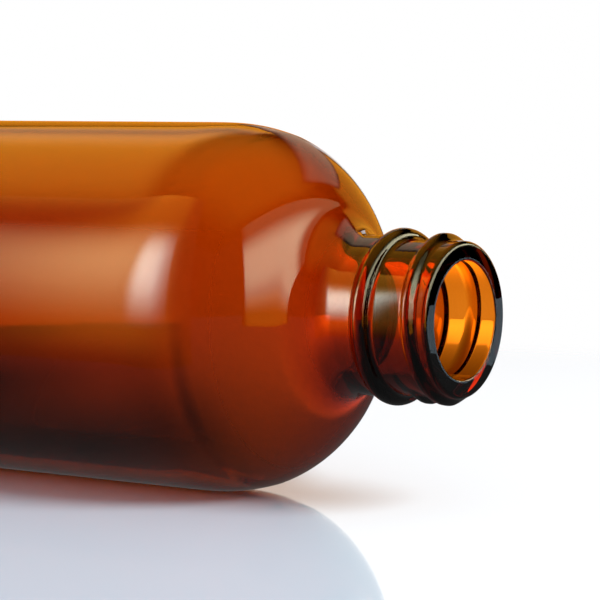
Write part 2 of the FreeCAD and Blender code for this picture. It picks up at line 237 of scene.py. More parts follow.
def outer_section():
    """From the middle of the base to the lip. Each stretch ends with its count of steps."""
    dish_radius = (PUSH_UP_RADIUS ** 2 + PUSH_UP_DEPTH ** 2) / (2 * PUSH_UP_DEPTH)
    dish_half = math.degrees(math.asin(PUSH_UP_RADIUS / dish_radius))
    fillet_at, fillet_angle = fillet_between(SHOULDER_OUT, SHOULDER_AT, SHOULDER, NECK_RADIUS, NECK_FILLET)
    bead_out = BEAD_RADIUS - BEAD_ROUND
    high_foot, high_angle = fillet_between(bead_out, BEAD_AT, BEAD_ROUND, FINISH_RADIUS, BEAD_FOOT)
    foot_rise, low_angle = fillet_between(bead_out, 0, BEAD_ROUND, NECK_RADIUS, BEAD_FOOT)
    low_foot = BEAD_AT - foot_rise
    passage_at = SHOULDER_AT - PASSAGE
    lip_at = BOTTLE_HEIGHT - LIP_ROUND
    return [
        *arc(0, PUSH_UP_DEPTH - dish_radius, dish_radius, 90, 90 - dish_half, 12),
        *arc(BODY_RADIUS - HEEL, HEEL, HEEL, -90, 0, 12),
        *straight_wall(BODY_RADIUS, HEEL, passage_at),
        *run((BODY_RADIUS, passage_at), (BODY_RADIUS, SHOULDER_AT), PASSAGE_ROWS),
        *arc(SHOULDER_OUT, SHOULDER_AT, SHOULDER, 0, fillet_angle, 40),
        *arc(NECK_RADIUS + NECK_FILLET, fillet_at, NECK_FILLET, 180 + fillet_angle, 180, 22)[1:],
        *run((NECK_RADIUS, fillet_at), (NECK_RADIUS, low_foot), 4),
        *arc(NECK_RADIUS + BEAD_FOOT, low_foot, BEAD_FOOT, 180, 180 - low_angle, 8),
        *arc(bead_out, BEAD_AT, BEAD_ROUND, -low_angle, high_angle, 24)[1:],
        *arc(FINISH_RADIUS + BEAD_FOOT, high_foot, BEAD_FOOT, 180 + high_angle, 180, 8)[1:],
        *run((FINISH_RADIUS, high_foot), (FINISH_RADIUS, lip_at), FINISH_ROWS),
        *arc(FINISH_RADIUS - LIP_ROUND, lip_at, LIP_ROUND, 0, 90, 10),
    ]


outside = outer_section()
print("outside section:", len(outside), "points")

# %% Inside of the bottle
AROUND = 288
# The smoothing leaves the first points of the passage as they are.
PASSAGE_MARGIN = 0.3


def inner_section():
    """From the lip back down to the middle of the inner base."""
    inner_radius = BODY_RADIUS - WALL
    shoulder = SHOULDER - WALL
    fillet_at, fillet_angle = fillet_between(SHOULDER_OUT, SHOULDER_AT, shoulder, BORE_RADIUS, INNER_FILLET)
    heel_at = BASE_THICKNESS + INNER_HEEL
    heel_out = inner_radius - INNER_HEEL
    passage_at = SHOULDER_AT - PASSAGE
    rim_at = BOTTLE_HEIGHT - MOUTH_ROUND
    rim_out = BORE_RADIUS + MOUTH_ROUND
    return [
        *run((FINISH_RADIUS - LIP_ROUND, BOTTLE_HEIGHT), (rim_out, BOTTLE_HEIGHT), 6),
        *arc(rim_out, rim_at, MOUTH_ROUND, 90, 180, 6),
        *straight_wall(BORE_RADIUS, rim_at, fillet_at),
        *arc(BORE_RADIUS + INNER_FILLET, fillet_at, INNER_FILLET, 180, 180 + fillet_angle, 22),
        *arc(SHOULDER_OUT, SHOULDER_AT, shoulder, fillet_angle, 0, 36)[1:],
        *run((inner_radius, SHOULDER_AT), (inner_radius, passage_at), PASSAGE_ROWS),
        *straight_wall(inner_radius, passage_at, heel_at),
        *arc(heel_out, heel_at, INNER_HEEL, 0, -90, 12),
        *run((heel_out, BASE_THICKNESS), (0, BASE_THICKNESS), 10),
        (0, BASE_THICKNESS),
    ]


passage_start = SHOULDER_AT - PASSAGE + PASSAGE_MARGIN
bottle_shape = spun(outside + inner_section(), AROUND, passage_start, SHOULDER_AT + PASSAGE)
print("bottle surface:", len(bottle_shape.verts), "points")

# %% [markdown]
# ## An uneven wall
#
# A mould shapes only the outside of a bottle. Inside, the glass settles as it cools, so the wall is never
# even: this one is thicker at the sides than above and below. A second spin could not make that, so the
# points of the inner wall are moved in or out by their place. In the same pass each of them gets an
# attribute called inside, which says how hazy the wall is there. The haze is full along the top and on
# the shoulder, weak on the lower half and gone in the neck.

# %% Wall and haze
SIDE_WALL = 3.1
TOP_WALL = 1.7
NECK_BELOW_MOUTH = 20.0
NECK_AT = BOTTLE_HEIGHT - NECK_BELOW_MOUTH
HAZE_FADE = 4.0
CLEAR_FROM = 0.2
CLEAR_OVER = 0.28
CLEAR_DROP = 0.9
SHOULDER_HAZE_AT = 98.0
SHOULDER_HAZE_OVER = 10.0
# Nearer to the axis than this, a point has no side to be moved to.
AXIS_SPACE = 1.0


def ease(share):
    """A smooth step from 0 to 1."""
    share = min(max(share, 0.0), 1.0)
    return share * share * (3.0 - 2.0 * share)


def haze_at(down, along):
    """Share of the full haze at a distance down from the axis and a height along it."""
    lowness = (down / BODY_RADIUS + 1.0) / 2.0
    upper = 1.0 - CLEAR_DROP * ease((lowness - CLEAR_FROM) / CLEAR_OVER)
    on_shoulder = ease((along - SHOULDER_HAZE_AT) / SHOULDER_HAZE_OVER)
    return ease((NECK_AT - along) / HAZE_FADE) * max(upper, on_shoulder)


def wall_growth(down, out, along):
    """Factor that takes a point of the even inner wall to the uneven one."""
    upright_share = (down / out) ** 2
    wall = SIDE_WALL + (TOP_WALL - SIDE_WALL) * upright_share
    above_heel = ease((along - BASE_THICKNESS) / INNER_HEEL)
    below_neck = ease((NECK_AT - along) / (NECK_AT - SHOULDER_AT))
    return (out + (WALL - wall) * (above_heel * below_neck)) / out


# %% Uneven wall
def widen(corner, factor):
    """Move a point away from the axis by a factor."""
    corner.co.x *= factor
    corner.co.y *= factor


# In the bottle's own frame +X is the side that ends up below.
rows = bottle_shape.verts.layers.int["row"]
inside = bottle_shape.verts.layers.float.new("inside")
moved = 0
for corner in bottle_shape.verts:
    along = corner.co.z / MM
    if corner[rows] < len(outside) or along > NECK_AT:
        continue
    down = corner.co.x / MM
    out = corner.co.xy.length / MM
    corner[inside] = haze_at(down, along)
    if out >= AXIS_SPACE:
        widen(corner, wall_growth(down, out, along))
        moved += 1
print("inner wall: moved", moved, "points")

# %% [markdown]
# ## The thread on the neck
#
# A glass thread is a soft ridge that winds a little under once round the finish and fades into the wall
# at both its ends. If it were a separate piece, light would see a wall of glass between the ridge and the
# neck. So the rows of points on the finish are moved outwards where the ridge runs, and the surface stays
# one skin.

# %% Neck thread
THREAD_RADIUS = 13.7
THREAD_PITCH = 4.23
THREAD_BELOW_MOUTH = 6.2
THREAD_AT = BOTTLE_HEIGHT - THREAD_BELOW_MOUTH
THREAD_ANGLE = 351.0
THREAD_FADE = 32.4
THREAD_CREST = 0.25
THREAD_FOOT = 1.5
FULL_TURN = 360.0


def ridge(distance, crest, foot):
    """Height, from 0 to 1, of a rounded ridge: full within crest of its middle, nothing past foot."""
    return ease((foot - abs(distance)) / (foot - crest))


def thread_height(angle, along):
    """Share of the thread's full height at a place on the finish, over the windings that pass it."""
    best = 0.0
    for winding in (angle - FULL_TURN, angle, angle + FULL_TURN):
        past_end = max(-winding, winding - THREAD_ANGLE, 0.0)
        middle = THREAD_AT + THREAD_PITCH * winding / FULL_TURN
        height = ridge(along - middle, THREAD_CREST, THREAD_FOOT) * (1.0 - ease(past_end / THREAD_FADE))
        best = max(best, height)
    return best


def round_place(corner):
    """A point's distance out from the axis and height along it, in mm, and its angle about it."""
    out = math.hypot(corner.co.x, corner.co.y) / MM
    angle = math.degrees(math.atan2(corner.co.y, corner.co.x)) % FULL_TURN
    return out, corner.co.z / MM, angle


raised = 0
for corner in bottle_shape.verts:
    out, along, angle = round_place(corner)
    if along < BEAD_AT or not FINISH_RADIUS - LIP_ROUND <= out < BEAD_RADIUS:
        continue
    lift = (THREAD_RADIUS - FINISH_RADIUS) * thread_height(angle, along)
    if lift > 0:
        widen(corner, (out + lift) / out)
        raised += 1
print("thread raised", raised, "points")


# %% Bottle in place
def piece_from(shape, name, place, body, node):
    """A shape put in its place as an object that rides on a body and stands for a CAD node."""
    shape.transform(place)
    mesh = bpy.data.meshes.new(name)
    shape.to_mesh(mesh)
    shape.free()
    mesh.shade_smooth()
    piece = bpy.data.objects.new(name, mesh)
    bpy.context.scene.collection.objects.link(piece)
    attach(piece, body)
    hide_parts(node)
    triangles = sum(len(face.vertices) - 2 for face in mesh.polygons)
    print(name, len(mesh.vertices), "points,", triangles, "triangles")
    return piece


bottle = piece_from(bottle_shape, "amber_bottle", bottle_place, "bottle", "glass_bottle")

# %% [markdown]
# ## The screw cap
#
# The cap is one plastic moulding: a cup with a ring of fine grip ribs outside and a thread inside. It
# stands on its top with the open side up. Ribs and thread are raised on the spun surface in the same way
# as the neck's thread, which keeps the moulding one skin with soft edges. The height of each rib is kept
# as an attribute called crest, because its finish wears there.

# %% Cap section
CAP_RADIUS = 15.25
CAP_BORE = 14.05
CAP_TOP = 1.6
CAP_EDGE = 0.8
CAP_RIM_ROUND = 0.25
CAP_CORNER = 0.5
RIB_COUNT = 60
CAP_AROUND = RIB_COUNT * 6


def cap_section():
    """From the middle of the top, which is below, over the rim to the middle of the inner face."""
    rim_at = CAP_HEIGHT - CAP_RIM_ROUND
    return [
        (0, 0),
        *run((0, 0), (CAP_RADIUS - CAP_EDGE, 0), 6),
        *arc(CAP_RADIUS - CAP_EDGE, CAP_EDGE, CAP_EDGE, -90, 0, 8),
        *run((CAP_RADIUS, CAP_EDGE), (CAP_RADIUS, rim_at), 26),
        *arc(CAP_RADIUS - CAP_RIM_ROUND, rim_at, CAP_RIM_ROUND, 0, 90, 5),
        *arc(CAP_BORE + CAP_RIM_ROUND, rim_at, CAP_RIM_ROUND, 90, 180, 5),
        *run((CAP_BORE, rim_at), (CAP_BORE, CAP_TOP + CAP_CORNER), 40),
        *arc(CAP_BORE - CAP_CORNER, CAP_TOP + CAP_CORNER, CAP_CORNER, 0, -90, 5),
        *run((CAP_BORE - CAP_CORNER, CAP_TOP), (0, CAP_TOP), 5),
        (0, CAP_TOP),
    ]


cap_shape = spun(cap_section(), CAP_AROUND)
print("cap surface:", len(cap_shape.verts), "points")

# %% Ribs and inner thread
RIB_HEIGHT = 0.3
RIB_MARGIN = 1.2
RIB_FADE = 0.5
RIB_SHARE = 0.86
CAP_THREAD_RADIUS = 13.0
CAP_THREAD_AT = 6.1
CAP_THREAD_START = 40.0
CAP_THREAD_ANGLE = 342.0
ON_WALL = 0.001


def rib_height(angle, along):
    """Share of a rib's full height at a place on the skirt."""
    spacing = FULL_TURN / RIB_COUNT
    across = (angle + spacing / 2) % spacing - spacing / 2
    level = min(along - RIB_MARGIN, CAP_HEIGHT - RIB_MARGIN - along)
    return ridge(across, 0, spacing / 2 * RIB_SHARE) * ease(level / RIB_FADE + 0.5)


def cap_thread_height(angle, along):
    """Share of the inner thread's full height at a place on the bore. Its ends are cut off plainly."""
    winding = (angle - CAP_THREAD_START) % FULL_TURN
    if winding > CAP_THREAD_ANGLE:
        return 0.0
    middle = CAP_THREAD_AT + THREAD_PITCH * winding / FULL_TURN
    return ridge(along - middle, THREAD_CREST, THREAD_FOOT)


crest = cap_shape.verts.layers.float.new("crest")
for corner in cap_shape.verts:
    out, along, angle = round_place(corner)
    lift = 0.0
    if abs(out - CAP_RADIUS) < ON_WALL:
        corner[crest] = rib_height(angle, along)
        lift = RIB_HEIGHT * corner[crest]
    elif abs(out - CAP_BORE) < ON_WALL:
        lift = (CAP_THREAD_RADIUS - CAP_BORE) * cap_thread_height(angle, along)
    if lift:
        widen(corner, (out + lift) / out)
cap = piece_from(cap_shape, "ribbed_cap", cap_place, "cap", "screw_cap")

# %% [markdown]
# ## The liner
#
# A disc of white foam sheet lies in the cap's top. It has been screwed down on the lip, so it carries a
# shallow ring where the lip pressed it. The ring is part of the section, which has close points there. An
# attribute called ring keeps its depth for the finish.

# %% Liner disc
LINER_RADIUS = 13.9
LINER_THICKNESS = 1.0
LINER_TOP = CAP_TOP + LINER_THICKNESS
LINER_ROUND = 0.2
LINER_AROUND = 160
FACE_STEPS = 60
PRESSED_IN = 9.5
PRESSED_OUT = 12.2
PRESSED_DEPTH = 0.16
PRESSED_FLAT = 0.7
PRESSED_REACH = 1.2


def pressed(out):
    """Height of the liner's face at a distance from the middle."""
    middle = (PRESSED_IN + PRESSED_OUT) / 2
    half = (PRESSED_OUT - PRESSED_IN) / 2
    return LINER_TOP - PRESSED_DEPTH * ridge(out - middle, half * PRESSED_FLAT, half * PRESSED_REACH)


def liner_section():
    """From the middle of the back, which lies in the cap, over the edge to the middle of the face."""
    face_out = LINER_RADIUS - LINER_ROUND
    face = [face_out * (1 - step / FACE_STEPS) for step in range(FACE_STEPS + 1)]
    return [
        (0, CAP_TOP),
        *run((0, CAP_TOP), (face_out, CAP_TOP), 4),
        *arc(face_out, CAP_TOP + LINER_ROUND, LINER_ROUND, -90, 0, 4),
        *arc(face_out, LINER_TOP - LINER_ROUND, LINER_ROUND, 0, 80, 4),
        *[(out, pressed(out)) for out in face],
    ]


liner_shape = spun(liner_section(), LINER_AROUND)
ring = liner_shape.verts.layers.float.new("ring")
for corner in liner_shape.verts:
    if corner.co.z / MM > CAP_TOP + LINER_ROUND:
        corner[ring] = (LINER_TOP - pressed(corner.co.xy.length / MM)) / PRESSED_DEPTH
liner = piece_from(liner_shape, "foam_liner", cap_place, "cap", "cap_liner")

# %% [markdown]
# ## Skins that are never quite even
#
# No made surface is perfect. Glass from a mould has long, shallow waves, moulded plastic a fine grain, and
# foam sheet darker blotches. All three are a value that wanders over the surface, at very different
# scales. One node group holds it, and each material gives it its own size and detail.

# %% Uneven skin group
VECTOR = "NodeSocketVector"
FLOAT = "NodeSocketFloat"
PEAKS_FROM = 0.52
PEAKS_FULL = 0.66


def new_group(name, inputs, outputs):
    """A shader node group with named sockets, and its input and output nodes."""
    group = bpy.data.node_groups.new(name, "ShaderNodeTree")
    for socket, kind in inputs:
        group.interface.new_socket(socket, in_out="INPUT", socket_type=kind)
    for socket, kind in outputs:
        group.interface.new_socket(socket, in_out="OUTPUT", socket_type=kind)
    return group, group.nodes.new("NodeGroupInput"), group.nodes.new("NodeGroupOutput")


def uneven_skin_group():
    """Height from 0 to 1 with bumps of a given count per metre, and a mask of its highest places."""
    group, given, result = new_group(
        "uneven_skin",
        [("Place", VECTOR), ("Per Metre", FLOAT), ("Detail", FLOAT), ("Warp", FLOAT)],
        [("Height", FLOAT), ("Peaks", FLOAT)],
    )
    bumps = group.nodes.new("ShaderNodeTexNoise")
    group.links.new(given.outputs["Place"], bumps.inputs["Vector"])
    group.links.new(given.outputs["Per Metre"], bumps.inputs["Scale"])
    group.links.new(given.outputs["Detail"], bumps.inputs["Detail"])
    group.links.new(given.outputs["Warp"], bumps.inputs["Distortion"])
    peaks = group.nodes.new("ShaderNodeMapRange")
    peaks.interpolation_type = "SMOOTHSTEP"
    peaks.inputs["From Min"].default_value = PEAKS_FROM
    peaks.inputs["From Max"].default_value = PEAKS_FULL
    group.links.new(bumps.outputs["Fac"], peaks.inputs["Value"])
    group.links.new(bumps.outputs["Fac"], result.inputs["Height"])
    group.links.new(peaks.outputs["Result"], result.inputs["Peaks"])
    return group


uneven_skin = uneven_skin_group()
print("node group", uneven_skin.name, "with", len(uneven_skin.nodes), "nodes")

# %% [markdown]
# ## Amber glass
#
# The brown of bottle glass is inside it: light loses blue first, then green, and only a long way through
# the glass takes the red. So the surface is clear and the colour is an absorbing volume. Thin walls come
# out orange and the thick neck almost black, with no painted difference. The mould's metal never touches
# the inner wall, which set by itself and is duller. It scatters the view through the bottle a little.


# %% Material helpers
def new_material(name):
    """An empty node material with its output node."""
    material = bpy.data.materials.new(name)
    material.use_nodes = True
    nodes = material.node_tree.nodes
    nodes.clear()
    print("material", name)
    return material, nodes, material.node_tree.links, nodes.new("ShaderNodeOutputMaterial")


def add_skin(nodes, links, per_metre, detail, warp):
    """The uneven skin on a material's Object coordinates, with its own scale."""
    where = nodes.new("ShaderNodeTexCoord")
    skin = nodes.new("ShaderNodeGroup")
    skin.node_tree = uneven_skin
    links.new(where.outputs["Object"], skin.inputs["Place"])
    skin.inputs["Per Metre"].default_value = per_metre
    skin.inputs["Detail"].default_value = detail
    skin.inputs["Warp"].default_value = warp
    return skin


def add_bump(nodes, links, height, depth, surface):
    """A bump of a given depth in millimetres on a surface's normal."""
    bump = nodes.new("ShaderNodeBump")
    bump.inputs["Distance"].default_value = depth * MM
    links.new(height, bump.inputs["Height"])
    links.new(bump.outputs["Normal"], surface.inputs["Normal"])


def add_range(nodes, links, value, low, high):
    """A value from 0 to 1 spread between two numbers."""
    spread = nodes.new("ShaderNodeMapRange")
    spread.inputs["To Min"].default_value = low
    spread.inputs["To Max"].default_value = high
    links.new(value, spread.inputs["Value"])
    return spread.outputs["Result"]


# %% Glass material
GLASS_IOR = 1.52
INNER_HAZE = 0.33
GLASS_DENSITY = 1600.0
GLASS_COLOUR = (0.856, 0.598, 0.0, 1.0)
WAVES_PER_METRE = 55.0
WAVE_DEPTH = 0.03


def amber_glass():
    material, nodes, links, output = new_material("amber_glass")
    surface = nodes.new("ShaderNodeBsdfPrincipled")
    surface.inputs["Base Color"].default_value = (1.0, 1.0, 1.0, 1.0)
    surface.inputs["IOR"].default_value = GLASS_IOR
    surface.inputs["Transmission Weight"].default_value = 1.0
    inner_wall = nodes.new("ShaderNodeAttribute")
    inner_wall.attribute_name = "inside"
    haze = add_range(nodes, links, inner_wall.outputs["Fac"], 0.0, INNER_HAZE)
    links.new(haze, surface.inputs["Roughness"])
    waves = add_skin(nodes, links, WAVES_PER_METRE, detail=1.0, warp=0.4)
    add_bump(nodes, links, waves.outputs["Height"], WAVE_DEPTH, surface)
    depth = nodes.new("ShaderNodeVolumeAbsorption")
    depth.inputs["Color"].default_value = GLASS_COLOUR
    depth.inputs["Density"].default_value = GLASS_DENSITY
    links.new(surface.outputs["BSDF"], output.inputs["Surface"])
    links.new(depth.outputs["Volume"], output.inputs["Volume"])
    return material


bottle.data.materials.append(amber_glass())

# %% [markdown]
# ## Black cap plastic
#
# The cap is black, but a black thing that is handled is never one black. The rib crests are rubbed to a
# dull grey by fingers and the moulding has a fine grain. The crests carry an attribute of their own from
# when the ribs were raised, and the uneven skin breaks the wear up into patches.

# %% Mixing helpers
def feed(links, socket, value):
    """Link a value to a socket, or write it there if it is a plain number or colour."""
    if isinstance(value, bpy.types.NodeSocket):
        links.new(value, socket)
    else:
        socket.default_value = value


def add_math(nodes, links, operation, *values):
    """A math node on one or two values."""
    node = nodes.new("ShaderNodeMath")
    node.operation = operation
    for number, value in enumerate(values):
        feed(links, node.inputs[number], value)
    return node.outputs["Value"]


def add_colour_mix(nodes, links, share, first, second):
    """A colour between two, by a mask."""
    mixed = nodes.new("ShaderNodeMix")
    mixed.data_type = "RGBA"
    feed(links, mixed.inputs["A"], first)
    feed(links, mixed.inputs["B"], second)
    links.new(share, mixed.inputs["Factor"])
    return mixed.outputs["Result"]


# %% Cap material
PLASTIC_BLACK = (0.016, 0.016, 0.018, 1.0)
PLASTIC_WORN = (0.075, 0.073, 0.072, 1.0)
GRAIN_PER_METRE = 5200.0
GRAIN_DEPTH = 0.012
RUBBED_PER_METRE = 330.0


def cap_plastic():
    material, nodes, links, output = new_material("cap_plastic")
    surface = nodes.new("ShaderNodeBsdfPrincipled")
    crests = nodes.new("ShaderNodeAttribute")
    crests.attribute_name = "crest"
    rubbed = add_skin(nodes, links, RUBBED_PER_METRE, detail=5.0, warp=0.6)
    crest_edge = add_range(nodes, links, crests.outputs["Fac"], low=0.12, high=1.0)
    wear = add_math(nodes, links, "MULTIPLY", crest_edge, rubbed.outputs["Peaks"])
    colour = add_colour_mix(nodes, links, wear, PLASTIC_BLACK, PLASTIC_WORN)
    links.new(colour, surface.inputs["Base Color"])
    dullness = add_range(nodes, links, rubbed.outputs["Height"], low=0.22, high=0.50)
    links.new(dullness, surface.inputs["Roughness"])
    grain = add_skin(nodes, links, GRAIN_PER_METRE, detail=2.0, warp=0.0)
    add_bump(nodes, links, grain.outputs["Height"], GRAIN_DEPTH, surface)
    links.new(surface.outputs["BSDF"], output.inputs["Surface"])
    return material


cap.data.materials.append(cap_plastic())

# %% [markdown]
# ## Liner foam
#
# The liner is punched from foamed sheet. Its face has small closed cells, and the ring that the lip
# pressed is smoother and a little yellow. Round cells come from a Voronoi texture, whose smooth distance
# is a field of shallow domes.

# %% Liner material
FOAM_WHITE = (0.84, 0.83, 0.79, 1.0)
FOAM_PRESSED = (0.66, 0.61, 0.50, 1.0)
FOAM_SHADE = (0.70, 0.68, 0.62, 1.0)
CELLS_PER_METRE = 1900.0
CELL_DEPTH = 0.10
BLOTCHES_PER_METRE = 240.0


def liner_foam():
    material, nodes, links, output = new_material("liner_foam")
    surface = nodes.new("ShaderNodeBsdfPrincipled")
    where = nodes.new("ShaderNodeTexCoord")
    cells = nodes.new("ShaderNodeTexVoronoi")
    cells.feature = "SMOOTH_F1"
    cells.inputs["Scale"].default_value = CELLS_PER_METRE
    links.new(where.outputs["Object"], cells.inputs["Vector"])
    add_bump(nodes, links, cells.outputs["Distance"], CELL_DEPTH, surface)
    blotches = add_skin(nodes, links, BLOTCHES_PER_METRE, detail=4.0, warp=0.3)
    foam = add_colour_mix(nodes, links, blotches.outputs["Peaks"], FOAM_WHITE, FOAM_SHADE)
    ring_place = nodes.new("ShaderNodeAttribute")
    ring_place.attribute_name = "ring"
    stain = add_math(nodes, links, "MULTIPLY", ring_place.outputs["Fac"], blotches.outputs["Height"])
    links.new(add_colour_mix(nodes, links, stain, foam, FOAM_PRESSED), surface.inputs["Base Color"])
    dullness = add_range(nodes, links, ring_place.outputs["Fac"], low=0.72, high=0.45)
    links.new(dullness, surface.inputs["Roughness"])
    links.new(surface.outputs["BSDF"], output.inputs["Surface"])
    return material


liner.data.materials.append(liner_foam())

# %% [markdown]
# ## The table
#
# The bottle lies on a glossy white table. Its base colour is cool and its gloss warm, and where the gloss
# mirrors the white backdrop they add up to white. Where it mirrors the dark bottle, the cool base is left,
# so the mirror image is a pale blue-grey. For the camera the table fades into the backdrop, but the glass
# shows it up to its far edge.

# %% Stage helpers
def stage_from(shape, name, place):
    """A shape put in place by a matrix as an object that is stage."""
    mesh = bpy.data.meshes.new(name)
    shape.to_mesh(mesh)
    shape.free()
    panel = bpy.data.objects.new(name, mesh)
    panel.matrix_world = place
    bpy.context.scene.collection.objects.link(panel)
    return panel


def flat_panel(name, width, height, place):
    """A rectangle about its own middle, in its own XY plane."""
    shape = bmesh.new()
    bmesh.ops.create_grid(shape, x_segments=1, y_segments=1, size=0.5)
    bmesh.ops.scale(shape, vec=(width, height, 1), verts=shape.verts[:])
    return stage_from(shape, name, place)


def add_shaders(nodes, links, shaders):
    """The sum of some shaders."""
    total = shaders[0]
    for shader in shaders[1:]:
        added = nodes.new("ShaderNodeAddShader")
        links.new(total, added.inputs[0])
        links.new(shader, added.inputs[1])
        total = added.outputs["Shader"]
    return total


def mix_shaders(nodes, links, share, first, second):
    """A shader between two, by a share."""
    mixed = nodes.new("ShaderNodeMixShader")
    links.new(share, mixed.inputs["Fac"])
    links.new(first, mixed.inputs[1])
    links.new(second, mixed.inputs[2])
    return mixed.outputs["Shader"]


# %% Table
TABLE_BACK = 0.30
TABLE_FRONT = 0.9
TABLE_HALF = 0.9
TABLE_BASE = (0.42, 0.545, 0.63, 1.0)
TABLE_GLOSS = (0.54, 0.42, 0.35, 1.0)
TABLE_ROUGHNESS = 0.03
FADE_START = 0.20
FADE_END = 0.26


def table_finish():
    material, nodes, links, output = new_material("white_table")
    base = nodes.new("ShaderNodeBsdfDiffuse")
    base.inputs["Color"].default_value = TABLE_BASE
    gloss = nodes.new("ShaderNodeBsdfGlossy")
    gloss.inputs["Color"].default_value = TABLE_GLOSS
    gloss.inputs["Roughness"].default_value = TABLE_ROUGHNESS
    both = add_shaders(nodes, links, [base.outputs["BSDF"], gloss.outputs["BSDF"]])
    place = nodes.new("ShaderNodeNewGeometry")
    distance = nodes.new("ShaderNodeVectorMath")
    distance.operation = "LENGTH"
    links.new(place.outputs["Position"], distance.inputs[0])
    fade = nodes.new("ShaderNodeMapRange")
    fade.interpolation_type = "SMOOTHSTEP"
    fade.inputs["From Min"].default_value = FADE_START
    fade.inputs["From Max"].default_value = FADE_END
    links.new(distance.outputs["Value"], fade.inputs["Value"])
    ray = nodes.new("ShaderNodeLightPath")
    gone = add_math(nodes, links, "MULTIPLY", fade.outputs["Result"], ray.outputs["Is Camera Ray"])
    clear = nodes.new("ShaderNodeBsdfTransparent")
    links.new(mix_shaders(nodes, links, gone, both, clear.outputs["BSDF"]), output.inputs["Surface"])
    return material


table_turn = Matrix.Rotation(math.radians(CAMERA_AZIMUTH), 4, "Z")
table_middle = Matrix.Translation((0, (TABLE_BACK - TABLE_FRONT) / 2, 0))
table = flat_panel("table", 2 * TABLE_HALF, TABLE_BACK + TABLE_FRONT, table_turn @ table_middle)
table.data.materials.append(table_finish())

# %% [markdown]
# ## Backdrop
#
# Glass is lit by what it looks at. Behind the bottle is a plain white backdrop, which is the world here.
# The camera, mirrors and glass all see it at the same white. Everything else only gets a low light from
# it, so that the lamp makes the shadow.

# %% World
AMBIENT = 0.52


def studio_world():
    world = bpy.data.worlds.new("studio")
    world.use_nodes = True
    nodes = world.node_tree.nodes
    links = world.node_tree.links
    nodes.clear()
    output = nodes.new("ShaderNodeOutputWorld")
    ray = nodes.new("ShaderNodeLightPath")
    mirror = add_math(
        nodes, links, "MAXIMUM", ray.outputs["Is Glossy Ray"], ray.outputs["Is Transmission Ray"]
    )
    seen = add_math(nodes, links, "MAXIMUM", ray.outputs["Is Camera Ray"], mirror)
    backdrop = nodes.new("ShaderNodeBackground")
    backdrop.inputs["Color"].default_value = (1.0, 1.0, 1.0, 1.0)
    links.new(add_range(nodes, links, seen, AMBIENT, 1.0), backdrop.inputs["Strength"])
    links.new(backdrop.outputs["Background"], output.inputs["Surface"])
    return world


scene = bpy.context.scene
scene.world = studio_world()
scene.view_settings.view_transform = "Standard"
print("world", scene.world.name, "with ambient light", AMBIENT)

# %% [markdown]
# ## A film on the table
#
# The tent and the cards of the next steps are there for the glass alone, and the glossy table would mirror
# them too. Light Path has no way to ask which object a ray comes from, but it counts the clear surfaces
# that a ray has passed. So a film of nothing lies on the table where the camera looks at it. A ray that
# the table mirrors has passed the film, and for such a ray the tent and the cards are clear.

# %% Film
FILM_HEIGHT = 0.0001


def clear_film():
    """A clear sheet just over the table, which only camera rays pass."""
    place = Matrix.Translation((0, 0, FILM_HEIGHT)) @ table_turn @ table_middle
    film = flat_panel("clear_film", 2 * TABLE_HALF, TABLE_BACK + TABLE_FRONT, place)
    film.visible_shadow = False
    film.visible_diffuse = False
    film.visible_glossy = False
    film.visible_transmission = False
    material, nodes, links, output = new_material("clear_film")
    clear = nodes.new("ShaderNodeBsdfTransparent")
    links.new(clear.outputs["BSDF"], output.inputs["Surface"])
    film.data.materials.append(material)


def show_to_bottle(nodes, links, shader, output):
    """Show a panel's light from its front only, and not to rays that have passed the table's film."""
    side = nodes.new("ShaderNodeNewGeometry")
    ray = nodes.new("ShaderNodeLightPath")
    hidden = add_math(nodes, links, "ADD", side.outputs["Backfacing"], ray.outputs["Transparent Depth"])
    hidden.node.use_clamp = True
    clear = nodes.new("ShaderNodeBsdfTransparent")
    shown = mix_shaders(nodes, links, hidden, shader, clear.outputs["BSDF"])
    links.new(shown, output.inputs["Surface"])


clear_film()

# %% [markdown]
# ## Black tent
#
# Bright all round, glass would lose its edges. So a black tent stands over the set, open towards the
# backdrop. The rims of neck and lip bend the view into it and turn dark. For reflections two wings make
# the opening narrower, and a dark card lies before the bottle. None of them takes light from the table or
# throws a shadow on it.

# %% Tent
TENT_SIDE = 1.2
TENT_BACK = 0.60
TENT_FRONT = 1.2
TENT_TOP = 0.30
TENT_BELOW = 0.1
CLOTH_GLOW = 0.02


def only_in_glass(panel, mirrored, through):
    """Leave a panel out of everything but reflections, or what is seen through glass, or both."""
    panel.visible_camera = False
    panel.visible_diffuse = False
    panel.visible_shadow = False
    panel.visible_glossy = mirrored
    panel.visible_transmission = through


def cloth_material(name, glow):
    """Black cloth: a very low, even glow."""
    material, nodes, links, output = new_material(name)
    cloth = nodes.new("ShaderNodeEmission")
    cloth.inputs["Strength"].default_value = glow
    show_to_bottle(nodes, links, cloth.outputs["Emission"], output)
    material.cycles.emission_sampling = "NONE"
    return material


def black_tent():
    """A box that faces inwards, with no back."""
    shape = bmesh.new()
    bmesh.ops.create_cube(shape, size=1.0)
    size = (2 * TENT_SIDE, TENT_BACK + TENT_FRONT, TENT_TOP + TENT_BELOW)
    bmesh.ops.scale(shape, vec=size, verts=shape.verts[:])
    middle = (0, (TENT_BACK - TENT_FRONT) / 2, (TENT_TOP - TENT_BELOW) / 2)
    bmesh.ops.translate(shape, vec=middle, verts=shape.verts[:])
    behind = [face for face in shape.faces if face.calc_center_median().y > 0]
    bmesh.ops.delete(shape, geom=behind, context="FACES")
    bmesh.ops.reverse_faces(shape, faces=shape.faces[:])
    tent = stage_from(shape, "black_tent", table_turn)
    only_in_glass(tent, True, True)
    tent.data.materials.append(black_cloth)


black_cloth = cloth_material("black_cloth", CLOTH_GLOW)
black_tent()

